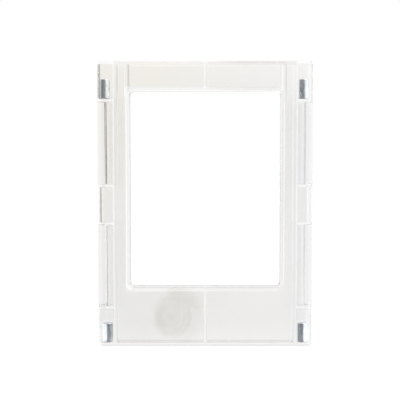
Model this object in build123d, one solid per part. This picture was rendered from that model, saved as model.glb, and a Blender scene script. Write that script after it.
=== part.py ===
from build123d import *
import os

# Clear magnetic photo frame for credit-card-size instant film, in millimetres.
# X runs across the frame, Z runs up it and -Y points out of the front.
# The origin is the middle of the bottom edge.
# Each moulding is drawn lying on its back, as it lies in the mould: X across the frame,
# Y up its height and Z from the back face to the front. It is then stood up.

# Film and magnets that the frame is made round
film_width = 54.0
film_height = 86.0
film_side_clearance = 0.4
film_top_recess = 1.0
film_slot_depth = 0.8
magnet_diameter = 3.0
magnet_length = 6.0
magnet_travel = 4.45
magnet_side_play = 1.0
magnet_depth_play = 0.3
magnet_wall_clearance = 0.08
magnet_edge_bevel = 0.15

# Outside of the frame
corner_radius = 0.8
cover_edge_radius = 0.25

# Walls, seen from the front
rail_inner_wall = 1.0
side_wall = 0.6
end_wall = 1.0
cross_rib_wall = 1.0
channel_wall = 0.7
channel_wall_inset = 2.05
centre_block_inset = 0.35
centre_block_length = 10.7
pocket_corner_radius = 0.2
chamber_corner_radius = 0.4
chamber_root_radius = 0.3
tray_edge_bevel = 0.12

# Plates and ribs, seen from the side
cover_thickness = 0.8
tray_floor = 0.9
seam_gap = 0.02
rib_draft_angle = 1.0
ring_shoulder_radius = 0.9
ring_edge_radius = 0.3
upright_top_radius = 0.7
centre_rib_top_radius = 0.46
well_corner_radius = 0.5
well_root_radius = 0.3

# Window and the ribs round it
side_border = 9.7
bottom_border = 18.3
top_border = 9.1
window_radius = 1.5
window_edge_radius = 0.15
ring_wall = 1.5
ring_bottom_wall = 1.5
upright_wall = 1.75
centre_rib_wall = 1.1

# Marks that the mould leaves
ejector_pad_diameter = 1.5
ejector_pad_shift = 1.0
ejector_pad_drop = 0.35
gate_nub_diameter = 1.0
gate_nub_length = 0.4
gate_nub_offset = 5.4
dimple_diameter = 0.9
dimple_depth = 0.15
dimple_spacing = 1.5
dimple_offset = 9.1
ejector_ring_diameter = 2.7
ejector_ring_bore = 1.9
ejector_ring_height = 0.12
ejector_ring_offset = 7.7

# One overrun for every cut
overrun = 1.0

# Places worked out from the sizes above
film_pocket_half = film_width / 2 + film_side_clearance
rail_inside = film_pocket_half + rail_inner_wall
pocket_width = magnet_diameter + magnet_side_play
pocket_length = magnet_length + magnet_travel
pocket_depth = magnet_diameter + magnet_depth_play
pocket_outside = rail_inside + pocket_width
frame_half = pocket_outside + side_wall
tray_depth = tray_floor + pocket_depth
frame_depth = tray_depth + cover_thickness
rib_height = pocket_depth - film_slot_depth
frame_height = end_wall + film_height + film_top_recess
mid_height = frame_height / 2
window_half = frame_half - side_border
window_bottom = bottom_border
window_top = frame_height - top_border
channel_outside = frame_half - channel_wall_inset
channel_inside = channel_outside - channel_wall
block_outside = frame_half - centre_block_inset
block_inside = block_outside - side_wall
block_low = mid_height - centre_block_length / 2
block_high = mid_height + centre_block_length / 2
channel_low = end_wall + pocket_length + cross_rib_wall
channel_high = frame_height - channel_low
magnet_x = rail_inside + pocket_width / 2
magnet_depth_place = tray_floor + pocket_depth / 2
lower_magnet_rest = end_wall
upper_magnet_rest = frame_height - end_wall - pocket_length
leaning_magnet_x = pocket_outside - magnet_wall_clearance - magnet_diameter / 2


def stood_up(shape):
    """Turns a shape drawn on its back to the upright frame, centred on its own depth."""
    return Plane.XZ.location * Pos(0, 0, -frame_depth / 2) * shape


def bar(left, right, low, high):
    """Rectangle between two places across the frame and two up its height."""
    return Pos((left + right) / 2, (low + high) / 2) * Rectangle(right - left, high - low)


def soft_bar(left, right, low, high, radius):
    """The same rectangle with rounded corners."""
    return Pos((left + right) / 2, (low + high) / 2) * RectangleRounded(right - left, high - low, radius)


def both_sides(shape):
    """A shape on the right-hand rail and its mirror image on the left-hand one."""
    return [shape, mirror(shape, Plane.YZ)]


def window_outline():
    return soft_bar(-window_half, window_half, window_bottom, window_top, window_radius)


def plate_outline():
    return soft_bar(-frame_half, frame_half, 0, frame_height, corner_radius)


def front_cover():
    """Flat front plate with the picture window, rounded along its front edges."""
    plate = extrude(plate_outline() - window_outline(), cover_thickness)
    plate = fillet(plate.faces().sort_by(Axis.Z)[-1].outer_wire().edges(), cover_edge_radius)
    plate = fillet(plate.faces().sort_by(Axis.Z)[-1].inner_wires()[0].edges(), window_edge_radius)
    return Pos(0, 0, tray_depth) * plate


def channel_spans():
    """Low and high ends of the two finger channels on one side."""
    return [(channel_low, block_low - cross_rib_wall), (block_high + cross_rib_wall, channel_high)]


def tray_outline():
    """Outline of the rear tray: the plate outline stepped in at the channels and the centre block."""
    outline = plate_outline()
    for low, high in channel_spans():
        for notch in both_sides(bar(channel_outside, frame_half + overrun, low, high)):
            outline -= notch
    for notch in both_sides(bar(block_outside, frame_half + overrun, block_low, block_high)):
        outline -= notch
    return outline


def hollow(outline):
    """Straight cutter from the tray floor up."""
    return Pos(0, 0, tray_floor) * extrude(outline, pocket_depth + overrun)


def soft_hollow(outline, root_radius):
    """The same cutter rounded where its walls meet the floor."""
    cutter = hollow(outline)
    return fillet(cutter.faces().sort_by(Axis.Z)[0].edges(), root_radius)


def magnet_pockets():
    """Hollows for the rods at both ends of one rail."""
    for low in (end_wall, upper_magnet_rest):
        yield hollow(
            soft_bar(rail_inside, pocket_outside, low, low + pocket_length, pocket_corner_radius)
        )


def rail_chambers():
    """Hollows of one rail between its pockets: the centre block and two narrow channel chambers."""
    block = soft_bar(rail_inside, block_inside, block_low, block_high, chamber_corner_radius)
    yield soft_hollow(block, chamber_root_radius)
    for low, high in channel_spans():
        outline = soft_bar(rail_inside, channel_inside, low, high, chamber_corner_radius)
        yield soft_hollow(outline, chamber_root_radius)


def rail_hollows():
    """Solids that cut both rails' compartments down to the tray floor."""
    cuts = []
    for cutter in (*magnet_pockets(), *rail_chambers()):
        cuts.extend(both_sides(cutter))
    return cuts


def film_pocket():
    """Space between the rails for the film, open at the top of the frame above the ribs."""
    well_top = frame_height - end_wall
    well = soft_bar(-film_pocket_half, film_pocket_half, end_wall, well_top, well_corner_radius)
    slot = bar(-film_pocket_half, film_pocket_half, end_wall + well_corner_radius, frame_height + overrun)
    return [
        soft_hollow(well, well_root_radius),
        Pos(0, 0, tray_floor + rib_height) * extrude(slot, film_slot_depth + overrun),
    ]


def drafted_rib(outline, top_radius):
    """A rib on the tray floor, narrower towards its rounded top by the draft angle."""
    rib = extrude(outline, rib_height, taper=rib_draft_angle)
    rib = fillet(rib.faces().sort_by(Axis.Z)[-1].edges(), top_radius)
    return Pos(0, 0, tray_floor) * rib


def window_ring():
    """Wall round the window, its inner face the window's own edge and its outer shoulder well rounded."""
    outline = soft_bar(
        -window_half - ring_wall,
        window_half + ring_wall,
        window_bottom - ring_bottom_wall,
        window_top + ring_wall,
        window_radius + ring_wall,
    )
    ring = extrude(outline, rib_height, taper=rib_draft_angle)
    ring -= Pos(0, 0, -overrun) * extrude(window_outline(), rib_height + 2 * overrun)
    ring = fillet(ring.faces().sort_by(Axis.Z)[-1].outer_wire().edges(), ring_shoulder_radius)
    ring = fillet(ring.faces().sort_by(Axis.Z)[-1].inner_wires()[0].edges(), ring_edge_radius)
    return Pos(0, 0, tray_floor) * ring


def upright_ribs():
    """Two ribs that carry the sides of the ring on to the top edge."""
    low = window_top - window_radius
    high = frame_height - end_wall + upright_wall / 2
    upright = bar(window_half, window_half + upright_wall, low, high)
    return both_sides(drafted_rib(upright, upright_top_radius))


def centre_ribs():
    """Ribs on the middle line above and below the window, let into the walls at both ends."""
    half = centre_rib_wall / 2
    spans = [
        (end_wall - half, window_bottom - ring_bottom_wall + half),
        (window_top + ring_wall - half, frame_height - end_wall + half),
    ]
    return [drafted_rib(bar(-half, half, low, high), centre_rib_top_radius) for low, high in spans]


def ejector_pads():
    """Round pads outside the lower corners of the ring, where the ejector pins push."""
    height = window_bottom - ring_bottom_wall + ejector_pad_drop
    place = Pos(window_half - ejector_pad_shift, height, tray_floor)
    pad = extrude(Circle(ejector_pad_diameter / 2), rib_height, taper=rib_draft_angle)
    return both_sides(place * pad)


def gate_nub():
    """Stub of the gate on the lower edge of the window, standing a hair's breadth into the opening."""
    place = Pos(-gate_nub_offset, window_bottom - gate_nub_length, tray_floor)
    return place * extrude(Circle(gate_nub_diameter / 2), rib_height - ring_edge_radius)


def ejector_ring():
    """Low round ring that an ejector sleeve leaves beside the bottom edge."""
    outline = Circle(ejector_ring_diameter / 2) - Circle(ejector_ring_bore / 2)
    place = Pos(ejector_ring_offset, end_wall + ejector_ring_diameter / 2, tray_floor)
    return place * extrude(outline, ejector_ring_height)


def dimples():
    """Pair of shallow round dents in the tray floor beside the bottom edge."""
    dent = extrude(Circle(dimple_diameter / 2), dimple_depth + overrun)
    height = end_wall + dimple_diameter
    depth = tray_floor - dimple_depth
    return [Pos(-dimple_offset + side * dimple_spacing / 2, height, depth) * dent for side in (-1, 1)]


def rear_tray():
    """Moulded back half: floor, end walls, compartmented rails and the ribs that carry the film."""
    tray = extrude(tray_outline(), tray_depth - seam_gap)
    tray -= rail_hollows()
    tray -= film_pocket()
    tray -= Pos(0, 0, -overrun) * extrude(window_outline(), tray_depth + 2 * overrun)
    tray = chamfer(tray.faces().sort_by(Axis.Z)[0].edges(), tray_edge_bevel)
    tray += [window_ring(), *upright_ribs(), *centre_ribs(), *ejector_pads(), gate_nub(), ejector_ring()]
    tray -= dimples()
    return tray


def magnet(x_place, rest):
    """Plated rod magnet with bevelled ends, standing on the floor of its pocket."""
    rod = Cylinder(magnet_diameter / 2, magnet_length, align=(Align.CENTER, Align.CENTER, Align.MIN))
    rod = chamfer(rod.edges().filter_by(GeomType.CIRCLE), magnet_edge_bevel)
    return Pos(x_place, frame_depth / 2 - magnet_depth_place, rest) * rod


os.makedirs("parts", exist_ok=True)
export_step(stood_up(front_cover()), "parts/front_cover.step")
export_step(stood_up(rear_tray()), "parts/rear_tray.step")
export_step(magnet(-leaning_magnet_x, upper_magnet_rest), "parts/magnet_top_left.step")
export_step(magnet(magnet_x, upper_magnet_rest), "parts/magnet_top_right.step")
export_step(magnet(-magnet_x, lower_magnet_rest), "parts/magnet_bottom_left.step")
export_step(magnet(magnet_x, lower_magnet_rest), "parts/magnet_bottom_right.step")
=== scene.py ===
"""Looks of a clear magnetic photo frame for one instant photo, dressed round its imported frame.

Two clear moulded halves are welded round four loose nickel-plated rod magnets. Everything is in metres,
+Z up, with the front of the frame towards -Y.
"""

import logging
import math
from dataclasses import dataclass
from enum import Enum
from typing import Any, Optional, Union

import bpy
import numpy as np
from mathutils import Euler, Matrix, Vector


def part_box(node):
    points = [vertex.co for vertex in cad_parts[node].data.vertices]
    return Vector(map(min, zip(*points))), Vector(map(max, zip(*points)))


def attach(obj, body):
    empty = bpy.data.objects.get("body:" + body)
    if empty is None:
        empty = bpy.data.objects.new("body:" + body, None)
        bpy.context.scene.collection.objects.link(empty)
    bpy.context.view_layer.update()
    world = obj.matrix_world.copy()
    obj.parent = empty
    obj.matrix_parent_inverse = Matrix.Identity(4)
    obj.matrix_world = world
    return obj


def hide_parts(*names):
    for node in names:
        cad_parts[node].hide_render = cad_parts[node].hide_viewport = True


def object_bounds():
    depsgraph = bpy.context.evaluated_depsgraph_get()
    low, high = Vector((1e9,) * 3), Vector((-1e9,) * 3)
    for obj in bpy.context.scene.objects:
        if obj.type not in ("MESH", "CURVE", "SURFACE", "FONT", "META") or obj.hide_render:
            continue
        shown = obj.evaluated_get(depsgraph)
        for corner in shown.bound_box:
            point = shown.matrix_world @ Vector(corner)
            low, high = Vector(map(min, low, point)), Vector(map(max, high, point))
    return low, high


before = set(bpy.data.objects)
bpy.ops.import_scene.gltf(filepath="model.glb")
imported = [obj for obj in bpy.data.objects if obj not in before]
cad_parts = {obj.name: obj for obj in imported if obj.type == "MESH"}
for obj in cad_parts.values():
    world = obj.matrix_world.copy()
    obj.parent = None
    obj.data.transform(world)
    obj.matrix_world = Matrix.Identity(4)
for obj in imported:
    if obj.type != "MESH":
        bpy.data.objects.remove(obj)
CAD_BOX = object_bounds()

LOG = logging.getLogger("photo_frame")
Number = Union[int, float, "Signal"]
Span = tuple[float, float]
Triple = tuple[float, float, float]

MM = 0.001
SOFT = 0.12 * MM          # width of the step at the edge of a mask
SEAM_REACH = 0.1 * MM     # how far from the seam a face still counts as lying at it
WHITE = (1.0, 1.0, 1.0)


class Maths(Enum):
    """Operations of a Math node that the expressions use."""

    ADD = "ADD"
    SUBTRACT = "SUBTRACT"
    MULTIPLY = "MULTIPLY"
    DIVIDE = "DIVIDE"
    ABSOLUTE = "ABSOLUTE"
    SINE = "SINE"
    SQUARE_ROOT = "SQRT"
    GREATER = "GREATER_THAN"
    LESS = "LESS_THAN"
    LARGER_OF = "MAXIMUM"
    SMALLER_OF = "MINIMUM"


class Blend(Enum):
    """Ways to lay one colour over another."""

    MIX = "MIX"
    MULTIPLY = "MULTIPLY"


class Corner(Enum):
    """The four corners that a rod magnet sits in, by the start of its body's name."""

    TOP_LEFT = "top_left"
    TOP_RIGHT = "top_right"
    BOTTOM_LEFT = "bottom_left"
    BOTTOM_RIGHT = "bottom_right"


@dataclass(frozen=True)
class Signal:
    """An output socket on a bench, with Python's operators turned into Math nodes."""

    bench: "Bench"
    socket: Any

    def __add__(self, other: Number) -> "Signal":
        """Sum of two values."""
        return self.bench.maths(Maths.ADD, self, other)

    def __radd__(self, other: Number) -> "Signal":
        """Sum with a plain number on the left."""
        return self.bench.maths(Maths.ADD, other, self)

    def __sub__(self, other: Number) -> "Signal":
        """Difference of two values."""
        return self.bench.maths(Maths.SUBTRACT, self, other)

    def __rsub__(self, other: Number) -> "Signal":
        """Difference with a plain number on the left."""
        return self.bench.maths(Maths.SUBTRACT, other, self)

    def __mul__(self, other: Number) -> "Signal":
        """Product of two values."""
        return self.bench.maths(Maths.MULTIPLY, self, other)

    def __rmul__(self, other: Number) -> "Signal":
        """Product with a plain number on the left."""
        return self.bench.maths(Maths.MULTIPLY, other, self)

    def __truediv__(self, other: Number) -> "Signal":
        """Quotient of two values."""
        return self.bench.maths(Maths.DIVIDE, self, other)

    def __neg__(self) -> "Signal":
        """The value with its sign turned."""
        return self.bench.maths(Maths.MULTIPLY, self, -1.0)

    def __abs__(self) -> "Signal":
        """Size of a value without its sign."""
        return self.bench.maths(Maths.ABSOLUTE, self)

    def __gt__(self, other: Number) -> "Signal":
        """One where the value is above the other, else zero."""
        return self.bench.maths(Maths.GREATER, self, other)

    def __lt__(self, other: Number) -> "Signal":
        """One where the value is below the other, else zero."""
        return self.bench.maths(Maths.LESS, self, other)

    def __or__(self, other: Number) -> "Signal":
        """Union of two masks, the larger of the two."""
        return self.bench.maths(Maths.LARGER_OF, self, other)

    def __and__(self, other: Number) -> "Signal":
        """Overlap of two masks, the smaller of the two."""
        return self.bench.maths(Maths.SMALLER_OF, self, other)

    def output(self, name: str) -> "Signal":
        """Another output of the node that this one comes from."""
        return Signal(self.bench, self.socket.node.outputs[name])


class Bench:
    """A node tree to build a material or the world on."""

    def __init__(self, tree: bpy.types.NodeTree) -> None:
        """Clears the tree.

        Args:
            tree: the node tree of a material or of the world.
        """
        self.tree = tree
        tree.nodes.clear()

    def node(
        self, kind: str, settings: Optional[dict] = None, output: Union[int, str] = 0, **inputs: Any
    ) -> Signal:
        """Adds one node, sets it up and joins it.

        Args:
            kind: type name of the node.
            settings: the node's own settings, set before its sockets.
            output: number or name of the output that is handed back.
            inputs: values or signals by socket name, with _ for a space, or by place as in_0.

        Returns:
            The chosen output.
        """
        made = self.tree.nodes.new(kind)
        for name, value in (settings or {}).items():
            setattr(made, name, value)
        for name, value in inputs.items():
            place = name.removeprefix("in_")
            key = int(place) if place.isdigit() else name.replace("_", " ")
            self.join(made.inputs[key], value)
        return Signal(self, made.outputs[output] if made.outputs else None)

    def join(self, socket: Any, value: Any) -> None:
        """Links a signal into a socket, or sets a plain value on it.

        Args:
            socket: the input socket.
            value: a signal, a number, a vector or a colour.
        """
        if isinstance(value, Signal):
            self.tree.links.new(value.socket, socket)
        elif socket.type == "RGBA":
            socket.default_value = (*value, 1.0)
        else:
            socket.default_value = value

    def maths(self, operation: Maths, *values: Number) -> Signal:
        """Adds a Math node for one operation.

        Args:
            operation: what it does.
            values: its inputs in order.

        Returns:
            Its result.
        """
        inputs = {f"in_{i}": value for i, value in enumerate(values)}
        return self.node("ShaderNodeMath", {"operation": operation.value}, **inputs)

    def root(self, value: Signal) -> Signal:
        """Square root of a value."""
        return self.maths(Maths.SQUARE_ROOT, value)

    def object_point(self) -> Signal:
        """Place of the shaded point on its piece, in metres."""
        return self.node("ShaderNodeTexCoord", output="Object")

    def parts(self, vector: Signal) -> tuple[Signal, Signal, Signal]:
        """The three numbers of a vector."""
        split = self.node("ShaderNodeSeparateXYZ", in_0=vector)
        return split, split.output("Y"), split.output("Z")

    def rise(self, value: Number, low: float, high: float) -> Signal:
        """Zero below low, one above high, and a smooth rise between them."""
        settings = {"interpolation_type": "SMOOTHSTEP"}
        return self.node("ShaderNodeMapRange", settings, Value=value, From_Min=low, From_Max=high)

    def between(self, value: Signal, low: float, high: float, soft: float = SOFT) -> Signal:
        """One between low and high, zero outside, and a smooth step as wide as soft at each.

        Args:
            value: what is measured.
            low: lower edge.
            high: upper edge.
            soft: width of each step.

        Returns:
            The mask.
        """
        half = soft / 2
        return self.rise(value, low - half, low + half) * (1 - self.rise(value, high - half, high + half))

    def noise(self, point: Signal, size: float, detail: float, roughness: float = 0.5) -> Signal:
        """Smooth noise from about zero to one.

        Args:
            point: where it is read.
            size: width of its largest blots, in metres.
            detail: how many finer layers it has.
            roughness: how strong those layers are.

        Returns:
            The noise.
        """
        return self.node(
            "ShaderNodeTexNoise", Vector=point, Scale=1 / size, Detail=detail, Roughness=roughness
        )

    def swing(self, point: Signal, size: float, detail: float) -> Signal:
        """Smooth noise from about minus a half to a half."""
        return self.noise(point, size, detail) - 0.5

    def grazing(self, low: float, high: float) -> Signal:
        """Zero on faces met head on, one on faces met edge on, from the Layer Weight node."""
        return self.rise(self.node("ShaderNodeLayerWeight", output="Facing"), low, high)

    def stretched(self, point: Signal, scale: Triple) -> Signal:
        """The point scaled by a Mapping node, to draw a pattern out along an axis."""
        return self.node("ShaderNodeMapping", Vector=point, Scale=scale)

    def mix(self, factor: Number, first: Any, second: Any, blend: Blend = Blend.MIX) -> Signal:
        """Colour between two others.

        Args:
            factor: zero for the first, one for the second.
            first: colour or signal.
            second: colour or signal.
            blend: how the second is laid over the first.

        Returns:
            The mixed colour.
        """
        made = self.tree.nodes.new("ShaderNodeMix")
        made.data_type = "RGBA"
        made.blend_type = blend.value
        self.join(made.inputs["Factor"], factor)
        colours = [socket for socket in made.inputs if socket.type == "RGBA"]
        self.join(colours[0], first)
        self.join(colours[1], second)
        return Signal(self, next(socket for socket in made.outputs if socket.type == "RGBA"))

    def tinted(self, mask: Number, base: Signal, tint: Any) -> Signal:
        """The base colour, multiplied by the tint where the mask is one."""
        return self.mix(mask, base, tint, Blend.MULTIPLY)


def new_material(name: str) -> tuple[bpy.types.Material, Bench]:
    """Makes an empty material.

    Args:
        name: name of the material.

    Returns:
        The material and the bench to build it on.
    """
    material = bpy.data.materials.new(name)
    material.use_nodes = True
    return material, Bench(material.node_tree)


@dataclass(frozen=True)
class Layout:
    """Where the walls and hollows of the frame lie, in metres from the middle of its bottom edge.

    Distances across are taken on either side of the middle, and distances along the rails on either side of
    half height, because the compartments mirror both ways.
    """

    half: float = CAD_BOX[1][0]
    height: float = CAD_BOX[1][2]
    front: float = CAD_BOX[0][1]
    cover: float = 0.8 * MM
    end_wall: float = 1.0 * MM
    side_wall: float = 0.6 * MM
    rail_wall: float = 1.0 * MM
    film_half: float = 27.4 * MM
    channel_inset: float = 2.05 * MM
    channel_wall: float = 0.7 * MM
    pocket_length: float = 10.45 * MM
    block_half: float = 5.35 * MM
    block_inset: float = 0.35 * MM
    window_half: float = 23.3 * MM
    window_bottom: float = 18.3 * MM
    window_top: float = 78.9 * MM
    ring: float = 1.5 * MM
    pad: Span = (22.3 * MM, 17.15 * MM)
    pad_radius: float = 0.75 * MM

    @property
    def middle(self) -> float:
        """Half height."""
        return self.height / 2

    @property
    def seam(self) -> float:
        """Depth of the seam between the two halves."""
        return self.front + self.cover

    @property
    def rail_inside(self) -> float:
        """Inner edge of the rail's compartments."""
        return self.film_half + self.rail_wall

    @property
    def pocket_outside(self) -> float:
        """Outer edge of the magnet pockets."""
        return self.half - self.side_wall

    @property
    def channel_outside(self) -> float:
        """Outer face of the wall behind a finger channel."""
        return self.half - self.channel_inset

    @property
    def block_outside(self) -> float:
        """Outer face of the closed block half way up the rail."""
        return self.half - self.block_inset

    @property
    def pocket_span(self) -> Span:
        """Distances from half height to the two ends of a magnet pocket."""
        end = self.middle - self.end_wall
        return end - self.pocket_length, end

    @property
    def channel_span(self) -> Span:
        """Distances from half height to the two ends of a finger channel."""
        return self.block_half + self.end_wall, self.pocket_span[0] - self.end_wall


LAYOUT = Layout()


@dataclass(frozen=True)
class DarkDisc:
    """A darker soft disc on the clear parts, with curled ridges, drawn out up and to the right.

    Edges are spans in radii of the disc, and the other lengths are in metres.
    """

    place: Span = (-9.8 * MM, 9.1 * MM)
    radius: float = 6.3 * MM
    squash: float = 0.85             # weight of the upright part of the distance
    ragged: float = 1.2 * MM         # how far the noise moves the edge
    blot: float = 4.0 * MM
    edge: Span = (0.8, 1.14)
    body: float = 0.6                # strength of the plain disc
    cloud: float = 0.6               # swing of the cloud in it
    cloud_size: float = 3.0 * MM
    detail: float = 2.0
    ridge: float = 2.1 * MM          # from one ridge to the next
    ridge_lean: float = 0.4
    ridge_depth: float = 0.09
    rim: float = 0.16
    rim_lean: float = 0.3
    rim_edge: Span = (0.35, 0.95)
    tail: float = 0.33
    tail_side: Span = (0.0, 0.8)
    tail_edge: Span = (1.0, 1.8)
    lobe: float = 0.675
    lobe_lean: Span = (0.3, 0.9)
    lobe_foot: Span = (0.3, 0.8)
    lobe_side: Span = (-0.6, 0.0)
    lobe_edge: Span = (0.95, 1.8)

    def rise(self, bench: Bench, value: Signal, span: Span) -> Signal:
        """Smooth rise over a span that is given in radii."""
        return bench.rise(value, self.radius * span[0], self.radius * span[1])

    def mask(self, bench: Bench, point: Signal) -> Signal:
        """Strength of the darker disc, about one at its darkest and zero outside it.

        The disc is a step of the distance from its middle, which noise makes ragged. A sine of that
        distance draws the ridges, and the disc is a little stronger towards its left rim. A faint tail lies
        to its right, and a stronger lobe above it.

        Args:
            bench: bench of the material.
            point: shaded point.

        Returns:
            The mask.
        """
        across, _, along = bench.parts(point)
        x, z = across - self.place[0], along - self.place[1]
        bent = bench.swing(point, self.blot, self.detail) * self.ragged
        distance = bench.root(x * x + z * z * self.squash) + bent
        disc = 1 - self.rise(bench, distance, self.edge)
        turns = (distance + x * self.ridge_lean) * (2 * math.pi / self.ridge)
        ridges = bench.maths(Maths.SINE, turns) * self.ridge_depth
        cloud = bench.swing(point, self.cloud_size, self.detail) * self.cloud
        rim = self.rise(bench, -x - z * self.rim_lean, self.rim_edge) * self.rim
        tail = (1 - self.rise(bench, distance, self.tail_edge)) * self.rise(bench, x, self.tail_side)
        above = self.rise(bench, x * self.lobe_lean[0] + z * self.lobe_lean[1], self.lobe_foot)
        lobe = above * self.rise(bench, x, self.lobe_side) * (1 - self.rise(bench, distance, self.lobe_edge))
        return disc * (self.body + rim + ridges + cloud) | tail * self.tail | lobe * self.lobe


@dataclass(frozen=True)
class PaintedLines:
    """Painted dark lines of shade along the outer walls of the rails, strong on the left and faint on the
    right.

    They lie on the cover's faces alone. On the tray's deeper faces too, the camera's angle would show each
    line twice.
    """

    width: float = 0.58 * MM
    lean: float = 0.004                     # outwards, per metre of height
    wall_share: float = 0.68                # how deep in the wall the left line lies
    foot: Span = (-28.0 * MM, -6.0 * MM)    # heights over half height where it fades in
    shoulder: Span = (0.0, 9.0 * MM)        # and where it gains its full strength
    lower: float = 0.45                     # strength between foot and shoulder
    least: float = 0.36                     # strength below the foot, in a channel
    pocket_inset: float = 0.174 * MM
    block_width: float = 0.696 * MM
    closed: float = 0.8                     # strength beside pocket and block
    faint_share: float = 0.5                # how deep in the wall the right line lies
    faint_soft: float = 0.36 * MM

    def masks(self, bench: Bench, point: Signal) -> tuple[Signal, Signal]:
        """Where the painted dark lines run.

        The line of a channel leans a little outwards towards the top. It is strongest above half height,
        fades over the foot below it, and keeps the least share from there down. The line of a pocket
        fades away, and the block has its own along its outer face.

        Args:
            bench: bench of the material.
            point: shaded point.

        Returns:
            The masks of the left walls and of the right channel.
        """
        across, depth, along = bench.parts(point)
        left, height = -across, along - LAYOUT.middle
        v, half = abs(height), self.width / 2
        upper = self.lower + (1 - self.lower) * bench.rise(height, *self.shoulder)
        upper = upper * bench.rise(height, *self.foot)
        length = bench.between(v, *LAYOUT.channel_span)
        wall, face = LAYOUT.channel_wall, LAYOUT.channel_outside
        place = left - height * self.lean - (face - wall * self.wall_share)
        channel = bench.between(place, -half, half) * length * (upper | self.least)
        pocket = bench.between(left, LAYOUT.pocket_outside - self.pocket_inset, LAYOUT.half)
        pocket = pocket * bench.between(v, *LAYOUT.pocket_span) * upper * self.closed
        block = bench.between(left, LAYOUT.block_outside - self.block_width, LAYOUT.block_outside - SOFT)
        block = block * (v < LAYOUT.block_half) * self.closed
        place = across - (face - wall * self.faint_share)
        faint = bench.between(place, -half, half, self.faint_soft) * length * upper
        in_cover = depth < LAYOUT.seam + SEAM_REACH
        return (channel | pocket | block) * in_cover, faint * in_cover


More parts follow.
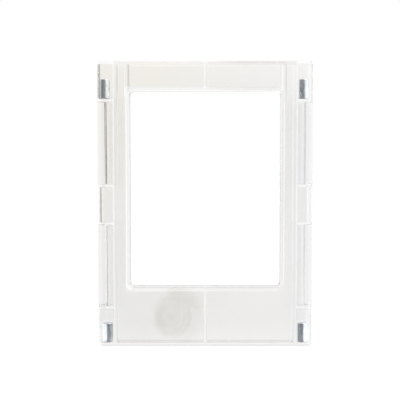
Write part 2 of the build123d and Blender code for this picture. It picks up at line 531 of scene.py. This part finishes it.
@dataclass(frozen=True)
class ClearStyrene:
    """Clear moulded styrene with welded wall tops, flow waves, a darker disc, painted dark lines, and
    painted shade and light in its tint.

    Light takes the square root of the tint at each face that it passes, so one plate dims it by the tint.
    The walls between cover and floor get a painted highlight that makes them brighter than the plates, and
    so do the ring and its two pads.
    """

    name: str = "clear_styrene"
    bend: float = 1.5
    gloss: float = 0.012
    wave_height: float = 0.004 * MM
    wave_size: Span = (5.0 * MM, 26.0 * MM)
    wave_detail: float = 1.0

    # Tint of the bare plates, with painted shade at the top left and painted light at the lower right, and
    # where each part of it ends or starts along the slant.
    # Painted shade: the warm tint darkens the top left.
    shaded_warm: Triple = (0.966, 0.953, 0.926)
    neutral: Triple = (0.960, 0.957, 0.949)
    # Painted light: this lighter tint brightens the lower right.
    light: Triple = (0.982, 0.977, 0.968)
    cool: Triple = (0.962, 0.963, 0.965)
    warm_end: Span = (-105.0 * MM, -60.0 * MM)
    light_start: Span = (-24.0 * MM, 0.0)
    cool_start: Span = (-60.0 * MM, -15.0 * MM)
    side_reach: float = 2.0 * MM
    drift: float = 24.0 * MM
    drift_size: float = 48.0 * MM
    drift_detail: float = 1.0

    # Painted highlight on the walls and the ring.
    painted_wall_highlight: Triple = (1.0, 0.998, 0.990)
    bead_inset: float = 0.2 * MM
    rail_bead: float = 0.4 * MM
    # Band down the right side that gets the walls' painted highlight.
    highlight_band: Span = (31.4 * MM, 31.76 * MM)
    # How the ring's painted highlight fades towards the right.
    ring_worn: Span = (-6.0 * MM, 14.0 * MM)
    ring_wear: float = 0.8

    # Marks, painted dark lines and painted shades over the tint.
    # A darker soft disc with ridges, and a little rougher.
    dark_disc: DarkDisc = DarkDisc()
    smudge_tint: Triple = (0.918, 0.917, 0.903)
    dark_disc_haze: float = 0.05
    # Painted shade: dark lines along the outer walls, and a faint bluish one on the right.
    painted_lines: PaintedLines = PaintedLines()
    thread_tint: Triple = (0.36, 0.355, 0.33)
    faint_tint: Triple = (0.86, 0.86, 0.91)
    foot_tint: Triple = (0.975, 0.955, 0.945)
    foot: Span = (0.8 * MM, 1.1 * MM)
    brow_tint: Triple = (0.975, 0.968, 0.966)
    brow: Span = (-1.3 * MM, -1.0 * MM)
    brow_side: Span = (-5.0 * MM, 12.0 * MM)
    side_shade: float = 0.016
    notch_shade: float = 0.07
    notch_margin: Span = (0.2 * MM, 0.6 * MM)
    # Share by which the painted shade in the right notch is less.
    notch_shade_right_cut: float = 0.6

    # Where light passes straight on.
    edge_on: Span = (0.62, 0.9)
    edge_fade: float = 0.8
    lip: Span = (-0.3 * MM, 0.1 * MM)
    lip_keep: float = 0.7
    rib_half: float = 0.7 * MM
    rib_fade: float = 0.22
    rim_reach: float = 0.55 * MM
    rim_fade: float = 0.6
    rim_side: float = 0.3
    rim_fade_right_span: Span = (-2.0 * MM, 12.0 * MM)
    rim_fade_right: float = 0.6

    def walls(self, bench: Bench, point: Signal) -> Signal:
        """One over the walls between cover and floor, as they lie behind the front face.

        The hollows are boxes in the distance across from the middle and in the distance along from half
        height. The walls are what they leave, drawn in a little from their edges, with a band down the right
        side of the closed compartments that takes the walls' painted highlight too.

        Args:
            bench: bench of the material.
            point: shaded point.

        Returns:
            The mask.
        """
        across, _, along = bench.parts(point)
        u, v = abs(across), abs(along - LAYOUT.middle)
        inset, rail = self.bead_inset, LAYOUT.rail_inside
        low, high = LAYOUT.channel_span
        start, end = LAYOUT.pocket_span
        film_edge = rail - self.rail_bead
        film = (1 - bench.rise(u, film_edge, film_edge + SOFT)) * (along > LAYOUT.end_wall - inset)
        pocket = bench.between(u, rail, LAYOUT.pocket_outside + inset)
        pocket = pocket * bench.between(v, start - inset, end + inset)
        block = bench.between(u, rail, LAYOUT.block_outside - LAYOUT.side_wall + inset)
        block = block * (v < LAYOUT.block_half + inset)
        channel = bench.between(u, rail, LAYOUT.channel_outside - LAYOUT.channel_wall + inset)
        notch = bench.between(u, LAYOUT.channel_outside - inset, LAYOUT.half + LAYOUT.end_wall)
        channel = (channel | notch) * bench.between(v, low - inset, high + inset)
        highlight_band = bench.rise(across, *self.highlight_band) * (1 - bench.between(v, low, high))
        return 1 - (film | pocket | block | channel) * (1 - highlight_band)

    def rim(self, bench: Bench, point: Signal) -> Signal:
        """Strength of the rims along the top, weaker towards the right, and down the right side, which let
        light straight on and so lighten those edges.

        Args:
            bench: bench of the material.
            point: shaded point.

        Returns:
            The mask.
        """
        across, _, along = bench.parts(point)
        top_edge, right_edge = LAYOUT.height - self.rim_reach, LAYOUT.half - self.rim_reach
        top = bench.rise(along, top_edge - SOFT, top_edge)
        top = top * (1 - bench.rise(across, *self.rim_fade_right_span) * self.rim_fade_right)
        right = bench.rise(across, right_edge - SOFT, right_edge) * self.rim_side
        return (top | right) * self.rim_fade

    def bare(self, bench: Bench, point: Signal, sides: Signal) -> Signal:
        """Tint of the bare plates: painted shade makes it warm and darker at the top left, painted light
        makes it lighter towards the lower right, and it is cool in the side strips at the lower right.

        Args:
            bench: bench of the material.
            point: shaded point.
            sides: mask of the strips beside the window.

        Returns:
            The colour.
        """
        across, _, along = bench.parts(point)
        slant = across - along + bench.swing(point, self.drift_size, self.drift_detail) * self.drift
        # Painted shade at the top left and painted light towards the lower right, with a random drift along
        # the slant.
        base = bench.mix(bench.rise(slant, *self.warm_end), self.shaded_warm, self.neutral)
        base = bench.mix(bench.rise(slant, *self.light_start), base, self.light)
        return bench.mix(sides * bench.rise(slant, *self.cool_start), base, self.cool)

    def ring(self, bench: Bench, point: Signal) -> Signal:
        """One where the ring round the window gets its painted highlight, weaker towards the right, and on
        the two pads beside it.

        Args:
            bench: bench of the material.
            point: shaded point.

        Returns:
            The mask.
        """
        across, _, along = bench.parts(point)
        u = abs(across)
        ring = bench.between(along, LAYOUT.window_bottom - LAYOUT.ring, LAYOUT.window_top + LAYOUT.ring)
        ring = ring * (u < LAYOUT.window_half + LAYOUT.ring)
        ring = ring * (1 - bench.rise(across, *self.ring_worn) * self.ring_wear)
        x, z = u - LAYOUT.pad[0], along - LAYOUT.pad[1]
        return ring | (bench.root(x * x + z * z) < LAYOUT.pad_radius)

    def shade(self, bench: Bench, point: Signal, sides: Signal) -> Signal:
        """Share of painted shade beside the channels, most of it in the notches outside their walls, less on
        the right.

        Args:
            bench: bench of the material.
            point: shaded point.
            sides: mask of the strips beside the window.

        Returns:
            The share.
        """
        across, _, along = bench.parts(point)
        u, v = abs(across), abs(along - LAYOUT.middle)
        closed = (v < LAYOUT.block_half) | (v > LAYOUT.pocket_span[0])
        inner, outer = self.notch_margin
        notch = 1 - bench.rise(u, LAYOUT.channel_outside + inner, LAYOUT.half - outer)
        notch = notch * (u > LAYOUT.channel_outside) * (1 - (across > 0.0) * self.notch_shade_right_cut)
        return (1 - closed) * (sides * self.side_shade + notch * self.notch_shade)

    def tint(self, bench: Bench, point: Signal, walls: Signal, dark_disc: Signal) -> Signal:
        """Tint of the bare plates with the painted highlight of the walls and the ring in it and every mark
        and painted shade laid over it.

        The foot is the strip along the bottom edge, and the brow the one along the top on the right.

        Args:
            bench: bench of the material.
            point: shaded point.
            walls: mask of the walls.
            dark_disc: mask of the darker disc.

        Returns:
            The colour.
        """
        across, _, along = bench.parts(point)
        sides = bench.rise(abs(across), LAYOUT.window_half, LAYOUT.film_half + self.side_reach)
        base = self.bare(bench, point, sides)
        # Painted highlight: the walls, the ring and its pads are lighter than the plates.
        base = bench.mix(walls | self.ring(bench, point), base, self.painted_wall_highlight)
        base = bench.tinted(dark_disc, base, self.smudge_tint)
        base = bench.tinted(1 - bench.rise(along, *self.foot), base, self.foot_tint)
        brow = bench.rise(along - LAYOUT.height, *self.brow) * bench.rise(across, *self.brow_side)
        base = bench.tinted(brow, base, self.brow_tint)
        # Painted shade: dark lines along the outer walls, and a faint one on the right.
        strong, faint = self.painted_lines.masks(bench, point)
        base = bench.tinted(strong, base, self.thread_tint)
        base = bench.tinted(faint, base, self.faint_tint)
        # Painted shade beside the channels and in the notches outside their walls.
        return bench.tinted(1.0, base, 1 - self.shade(bench, point, sides))

    def body(self, bench: Bench, point: Signal, walls: Signal) -> Signal:
        """One where the plastic bends and tints light, and less where it lets light straight on.

        The seam lets all of it on where the walls are welded. Faces met edge on, the centre ribs and the
        rims along the top and the right side let a share of it on, but the window's side faces keep most of
        theirs.

        Args:
            bench: bench of the material.
            point: shaded point.
            walls: mask of the walls.

        Returns:
            The share.
        """
        across, depth, along = bench.parts(point)
        u = abs(across)
        weld = walls * (abs(depth - LAYOUT.seam) < SEAM_REACH)
        lip = bench.between(u, LAYOUT.window_half + self.lip[0], LAYOUT.window_half + self.lip[1])
        lip = lip * bench.between(along, LAYOUT.window_bottom, LAYOUT.window_top)
        edge_on = bench.grazing(*self.edge_on) * self.edge_fade * (1 - lip * self.lip_keep)
        rib = (u < self.rib_half) * (1 - walls) * self.rib_fade
        return (1 - weld) * (1 - edge_on) * (1 - rib) * (1 - self.rim(bench, point))

    def make(self) -> bpy.types.Material:
        """Builds the material.

        Returns:
            The material.
        """
        material, bench = new_material(self.name)
        point = bench.object_point()
        dark_disc = self.dark_disc.mask(bench, point)
        walls = self.walls(bench, point)
        width, length = self.wave_size
        drawn = bench.stretched(point, (1 / width, 1 / width, 1 / length))
        wave = bench.noise(drawn, 1.0, self.wave_detail)
        shader = bench.node(
            "ShaderNodeBsdfPrincipled",
            Base_Color=self.tint(bench, point, walls, dark_disc),
            Roughness=self.gloss + dark_disc * self.dark_disc_haze,
            IOR=self.bend,
            Transmission_Weight=1.0,
            Alpha=self.body(bench, point, walls),
            Normal=bench.node("ShaderNodeBump", Strength=1.0, Distance=self.wave_height, Height=wave),
        )
        bench.node("ShaderNodeOutputMaterial", Surface=shader)
        return material


@dataclass(frozen=True)
class NickelPlate:
    """Bright nickel plating with a faint blue cast and fine tumbling marks."""

    name: str = "nickel_plate"
    light: Triple = (0.84, 0.89, 0.95)
    dull: Triple = (0.68, 0.72, 0.77)
    blot_size: float = 1.6 * MM
    blot_detail: float = 3.0
    blot_edge: Span = (0.35, 0.7)
    gloss: float = 0.14
    mark_size: float = 0.5 * MM
    mark_detail: float = 4.0
    mark_stretch: Triple = (1.0, 1.0, 0.2)
    mark_haze: float = 0.1
    mark_strength: float = 0.25
    mark_depth: float = 0.01 * MM
    grain: float = 0.6

    def make(self) -> bpy.types.Material:
        """Builds the material.

        Returns:
            The material.
        """
        material, bench = new_material(self.name)
        point = bench.object_point()
        blots = bench.noise(point, self.blot_size, self.blot_detail, self.grain)
        drawn = bench.stretched(point, self.mark_stretch)
        marks = bench.noise(drawn, self.mark_size, self.mark_detail, self.grain)
        normal = bench.node(
            "ShaderNodeBump", Strength=self.mark_strength, Distance=self.mark_depth, Height=marks
        )
        shader = bench.node(
            "ShaderNodeBsdfPrincipled",
            Base_Color=bench.mix(bench.rise(blots, *self.blot_edge), self.light, self.dull),
            Metallic=1.0,
            Roughness=self.gloss + marks * self.mark_haze,
            Normal=normal,
        )
        bench.node("ShaderNodeOutputMaterial", Surface=shader)
        return material


@dataclass
class RodMagnet:
    """One plated rod magnet, turned about its own axis with rounded ends."""

    corner: Corner
    finish: bpy.types.Material
    edge: float = 0.18 * MM
    hold: float = 0.03 * MM
    sides: int = 72
    edge_steps: int = 7

    @property
    def node(self) -> str:
        """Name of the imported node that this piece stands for."""
        return f"magnet_{self.corner.value}"

    def profile(self, radius: float, length: float) -> np.ndarray:
        """Radius and height of each point from the bottom pole to the top one.

        A flat end runs out to the rounded edge, a quarter circle turns up into the straight side, and the
        top repeats it upside down. A point a little before each turn keeps the flats looking flat.

        Args:
            radius: radius of the rod.
            length: length of the rod.

        Returns:
            Points as rows of radius and height.
        """
        turn = np.linspace(0, math.pi / 2, self.edge_steps)
        arc_radius = radius - self.edge + self.edge * np.sin(turn)
        arc_height = self.edge - self.edge * np.cos(turn)
        inner = radius - self.edge - self.hold
        low_radius = np.concatenate(([0.0, inner], arc_radius, [radius]))
        low_height = np.concatenate(([0.0, 0.0], arc_height, [self.edge + self.hold]))
        radii = np.concatenate((low_radius, low_radius[::-1]))
        heights = np.concatenate((low_height, length - low_height[::-1]))
        return np.stack((radii, heights), axis=1)

    def mesh(self) -> bpy.types.Mesh:
        """Surface of the rod: each profile point is carried round the axis, with one vertex at each pole.

        Returns:
            The closed mesh, with its place in its vertices.
        """
        low, high = (np.array(corner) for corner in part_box(self.node))
        centre = (low + high) / 2
        rows = self.profile((high[0] - low[0]) / 2, high[2] - low[2])
        angle = np.arange(self.sides) * 2 * math.pi / self.sides
        rings = rows[1:-1]
        x = centre[0] + rings[:, :1] * np.cos(angle)
        y = centre[1] + rings[:, :1] * np.sin(angle)
        z = np.repeat(low[2] + rings[:, 1:], self.sides, axis=1)
        body = np.stack((x, y, z), axis=2).reshape(-1, 3)
        poles = np.array([[centre[0], centre[1], low[2]], [centre[0], centre[1], high[2]]])
        here = np.arange(self.sides)
        there = (here + 1) % self.sides
        steps = np.arange(len(rings) - 1)[:, None] * self.sides
        quads = np.stack(
            (steps + here, steps + there, steps + self.sides + there, steps + self.sides + here), axis=2
        ).reshape(-1, 4)
        last = (len(rings) - 1) * self.sides
        bottom_pole, top_pole = len(body), len(body) + 1
        lower = np.stack((np.full(self.sides, bottom_pole), there, here), axis=1)
        upper = np.stack((np.full(self.sides, top_pole), last + here, last + there), axis=1)
        mesh = bpy.data.meshes.new(f"{self.node}_plated")
        faces = quads.tolist() + lower.tolist() + upper.tolist()
        mesh.from_pydata(np.concatenate((body, poles)).tolist(), [], faces)
        mesh.polygons.foreach_set("use_smooth", np.ones(len(faces), bool))
        mesh.update()
        return mesh

    def build(self) -> bpy.types.Object:
        """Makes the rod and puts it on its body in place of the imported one.

        Returns:
            The rod.
        """
        mesh = self.mesh()
        mesh.materials.append(self.finish)
        obj = bpy.data.objects.new(f"{self.node}_plated", mesh)
        bpy.context.scene.collection.objects.link(obj)
        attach(obj, f"{self.corner.value}_rod")
        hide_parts(self.node)
        LOG.info("%s: turned rod of %d faces", obj.name, len(mesh.polygons))
        return obj


@dataclass
class ClearShell:
    """The two clear moulded halves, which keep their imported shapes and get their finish."""

    finish: bpy.types.Material
    nodes: tuple[str, ...] = ("front_cover", "rear_tray")

    def build(self) -> None:
        """Dresses both halves."""
        for node in self.nodes:
            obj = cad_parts[node]
            obj.data.materials.clear()
            obj.data.materials.append(self.finish)
            LOG.info("%s: dressed in %s", node, self.finish.name)


@dataclass(frozen=True)
class ClearLight:
    """What rays meet beyond the clear parts: plain white ahead, with a brighter panel aside and above.

    The spans are in the parts of a ray's direction, from minus one to one.
    """

    aside: Span = (0.1, 0.22)
    right_glow: float = 0.18
    left_glow: float = 0.1
    left_shade: float = 0.22
    left_high: Span = (0.03, 0.06)
    above: Span = (0.07, 0.15)
    sky_glow: float = 0.1
    below: Span = (0.22, 0.36)
    ground_shade: float = 0.12
    steep: Span = (0.34, 0.5)
    steep_shade: float = 0.16

    def tone(self, bench: Bench, across: Signal, up: Signal) -> Signal:
        """Brightness by direction: brighter aside and up, darker far down, far aside and high up left.

        Args:
            bench: bench of the world.
            across: how far the ray points to the right, from minus one to one.
            up: how far it points up.

        Returns:
            The brightness.
        """
        right = bench.rise(across, *self.aside) * self.right_glow
        high = bench.rise(up, *self.left_high) * (self.left_glow + self.left_shade)
        left = bench.rise(-across, *self.aside) * (self.left_glow - high)
        above = bench.rise(up, *self.above) * self.sky_glow
        below = bench.rise(-up, *self.below) * self.ground_shade
        steep = bench.rise(abs(across), *self.steep) * self.steep_shade
        return (1 + right + left + above - below) * (1 - steep)


@dataclass(frozen=True)
class MirroredRoom:
    """What mirrored rays meet: a bright window to the right, a dark left side and the dark camera.

    The spans are in the parts of a ray's direction, from minus one to one.
    """

    dark_side: float = 0.3
    window: Span = (-0.5, 0.6)
    window_glow: float = 0.85
    right_wall: Span = (0.4, 0.9)
    right_glow: float = 0.4
    camera: Span = (0.965, 0.985)
    camera_top: Span = (0.02, 0.08)
    camera_shade: float = 0.75
    rear_tone: float = 0.95
    rear_sides: Span = (0.05, 0.3)
    rear_swing: float = 0.2
    behind: Span = (0.1, 0.7)
    above: Span = (0.15, 0.8)
    above_glow: float = 0.2

    def tone(self, bench: Bench, across: Signal, back: Signal, up: Number) -> Signal:
        """Brightness by direction, which goes over from the camera's side of the room to the rear wall.

        Args:
            bench: bench of the world or of the floor.
            across: how far the ray points to the right, from minus one to one.
            back: how far it points away from the camera.
            up: how far it points up.

        Returns:
            The brightness.
        """
        window = bench.rise(across, *self.window) * self.window_glow
        right = bench.rise(across, *self.right_wall) * self.right_glow
        camera = bench.rise(-back, *self.camera) * (1 - bench.rise(up, *self.camera_top))
        front = (self.dark_side + window + right) * (1 - camera * self.camera_shade)
        sides = bench.rise(across, *self.rear_sides) - bench.rise(-across, *self.rear_sides)
        rear = self.rear_tone + sides * self.rear_swing
        above = bench.rise(up, *self.above) * self.above_glow
        return front + (rear - front) * bench.rise(back, *self.behind) + above


@dataclass(frozen=True)
class WhitePaper:
    """Floor paper that is white to the camera, keeps a share of its shading and lets clear rays through.

    Mirrored rays see a painted shadow on it, darker in front of the frame and between the rails than on
    either side, and far off as dark or bright as the room. Clear rays meet the room behind it, so that a
    slope looks alike low down and high up.
    """

    name: str = "white_sweep"
    paper: Triple = (0.86, 0.86, 0.86)
    camera_glow: float = 1.02
    glow_share: float = 0.92
    mirror_height: float = 30.0 * MM
    near_side: Span = (-0.75, -0.35)
    # Painted shadow: tone of the floor near the frame, as mirrored rays see it.
    dark: float = 0.2
    glow: float = 1.0
    band: Span = (31.0 * MM, 36.0 * MM)
    reach: Span = (80.0 * MM, 130.0 * MM)

    def mirrored(self, bench: Bench, room: MirroredRoom) -> Signal:
        """Brightness of the floor to mirrored rays.

        The direction to each point of the floor is taken from the middle of the frame, at the mirror height.

        Args:
            bench: bench of the material.
            room: the room that the far floor goes over into.

        Returns:
            The brightness.
        """
        across, back, _ = bench.parts(bench.object_point())
        reach = bench.root(across * across + back * back + self.mirror_height ** 2)
        front = bench.rise(back / reach, *self.near_side)
        outside = bench.rise(abs(across), *self.band)
        # Painted shadow of the frame on the floor near it, seen only by mirrored rays.
        near = self.dark + front * (self.dark + outside * self.glow)
        far = room.tone(bench, across / reach, back / reach, 0.0)
        return near + (far - near) * bench.rise(reach, *self.reach) * front

    def make(self, room: MirroredRoom) -> bpy.types.Material:
        """Builds the material.

        Args:
            room: the room that the far floor goes over into.

        Returns:
            The material.
        """
        material, bench = new_material(self.name)
        path = bench.node("ShaderNodeLightPath", output="Is Camera Ray")
        bounced = (path.output("Glossy Depth") & 1.0) * (1 - path)
        tone = path * self.camera_glow + self.mirrored(bench, room) * bounced
        paper = bench.node("ShaderNodeBsdfDiffuse", Color=self.paper)
        glow = bench.node("ShaderNodeEmission", Color=tone, Strength=1.0)
        share = (path * self.glow_share) | bounced
        surface = bench.node("ShaderNodeMixShader", in_0=share, in_1=paper, in_2=glow)
        clear = path.output("Is Transmission Ray") * (1 - bounced)
        passing = bench.node("ShaderNodeBsdfTransparent")
        surface = bench.node("ShaderNodeMixShader", in_0=clear, in_1=surface, in_2=passing)
        bench.node("ShaderNodeOutputMaterial", Surface=surface)
        return material


@dataclass(frozen=True)
class Studio:
    """White floor, the room round it, one soft lamp and the camera."""

    clear: ClearLight = ClearLight()
    mirrored: MirroredRoom = MirroredRoom()
    paper: WhitePaper = WhitePaper()
    floor_half: float = 1.5
    lamp_place: Triple = (0.35, -0.3, 0.6)
    lamp_aim: Triple = (0.0, 0.0, 0.04)
    lamp_size: float = 0.4
    lamp_watts: float = 3.0
    camera_aim: Triple = (-1.6 * MM, -2.5 * MM, 45.5 * MM)
    camera_distance: float = 300.0 * MM
    camera_rise_deg: float = 3.5
    camera_clip: float = 10.0 * MM
    field_width: float = 123.1 * MM
    sensor: float = 36.0

    def floor(self) -> bpy.types.Object:
        """Flat square floor under the frame.

        Returns:
            The floor.
        """
        mesh = bpy.data.meshes.new("floor")
        h = self.floor_half
        mesh.from_pydata([(-h, -h, 0), (h, -h, 0), (h, h, 0), (-h, h, 0)], [], [(0, 1, 2, 3)])
        mesh.materials.append(self.paper.make(self.mirrored))
        obj = bpy.data.objects.new("floor", mesh)
        bpy.context.scene.collection.objects.link(obj)
        return obj

    def room(self) -> None:
        """World: white to the camera, near white to clear rays, and the room to mirrored ones."""
        world = bpy.data.worlds.new("soft_room")
        bpy.context.scene.world = world
        world.use_nodes = True
        bench = Bench(world.node_tree)
        across, back, up = bench.parts(bench.node("ShaderNodeTexCoord", output="Generated"))
        path = bench.node("ShaderNodeLightPath", output="Is Camera Ray")
        bounced = path.output("Glossy Depth") & 1.0
        plain = path | path.output("Is Diffuse Ray")
        clear = self.clear.tone(bench, across, up) * (1 - bounced)
        mirrored = self.mirrored.tone(bench, across, back, up) * bounced
        strength = plain + (1 - plain) * (clear + mirrored)
        ground = bench.node("ShaderNodeBackground", Color=WHITE, Strength=strength)
        bench.node("ShaderNodeOutputWorld", Surface=ground)

    def lamp(self) -> None:
        """Soft square lamp, high up to the right and in front."""
        light = bpy.data.lights.new("key", "AREA")
        light.size = self.lamp_size
        light.energy = self.lamp_watts
        obj = bpy.data.objects.new("key", light)
        obj.location = self.lamp_place
        towards = Vector(self.lamp_aim) - Vector(self.lamp_place)
        obj.rotation_euler = towards.to_track_quat("-Z", "Y").to_euler()
        bpy.context.scene.collection.objects.link(obj)

    def camera(self) -> None:
        """Camera at the photo's angle: straight on, a little above, about 300 mm away."""
        data = bpy.data.cameras.new("camera")
        data.sensor_width = self.sensor
        data.lens = self.sensor * self.camera_distance / self.field_width
        data.clip_start = self.camera_clip
        obj = bpy.data.objects.new("camera", data)
        rise = math.radians(self.camera_rise_deg)
        aim = Vector(self.camera_aim)
        obj.location = aim + self.camera_distance * Vector((0, -math.cos(rise), math.sin(rise)))
        obj.rotation_euler = Euler((math.pi / 2 - rise, 0, 0))
        bpy.context.scene.collection.objects.link(obj)
        bpy.context.scene.camera = obj

    def build(self) -> None:
        """Sets up the whole studio."""
        floor = self.floor()
        self.room()
        self.lamp()
        self.camera()
        bpy.context.scene.view_settings.view_transform = "Standard"
        LOG.info("%s: laid, with the room, the lamp and the camera round it", floor.name)


def main() -> None:
    """Builds the looks, piece by piece."""
    logging.basicConfig(level=logging.INFO)
    ClearShell(ClearStyrene().make()).build()
    nickel = NickelPlate().make()
    for corner in Corner:
        RodMagnet(corner, nickel).build()
    Studio().build()


if __name__ == "__main__":
    main()
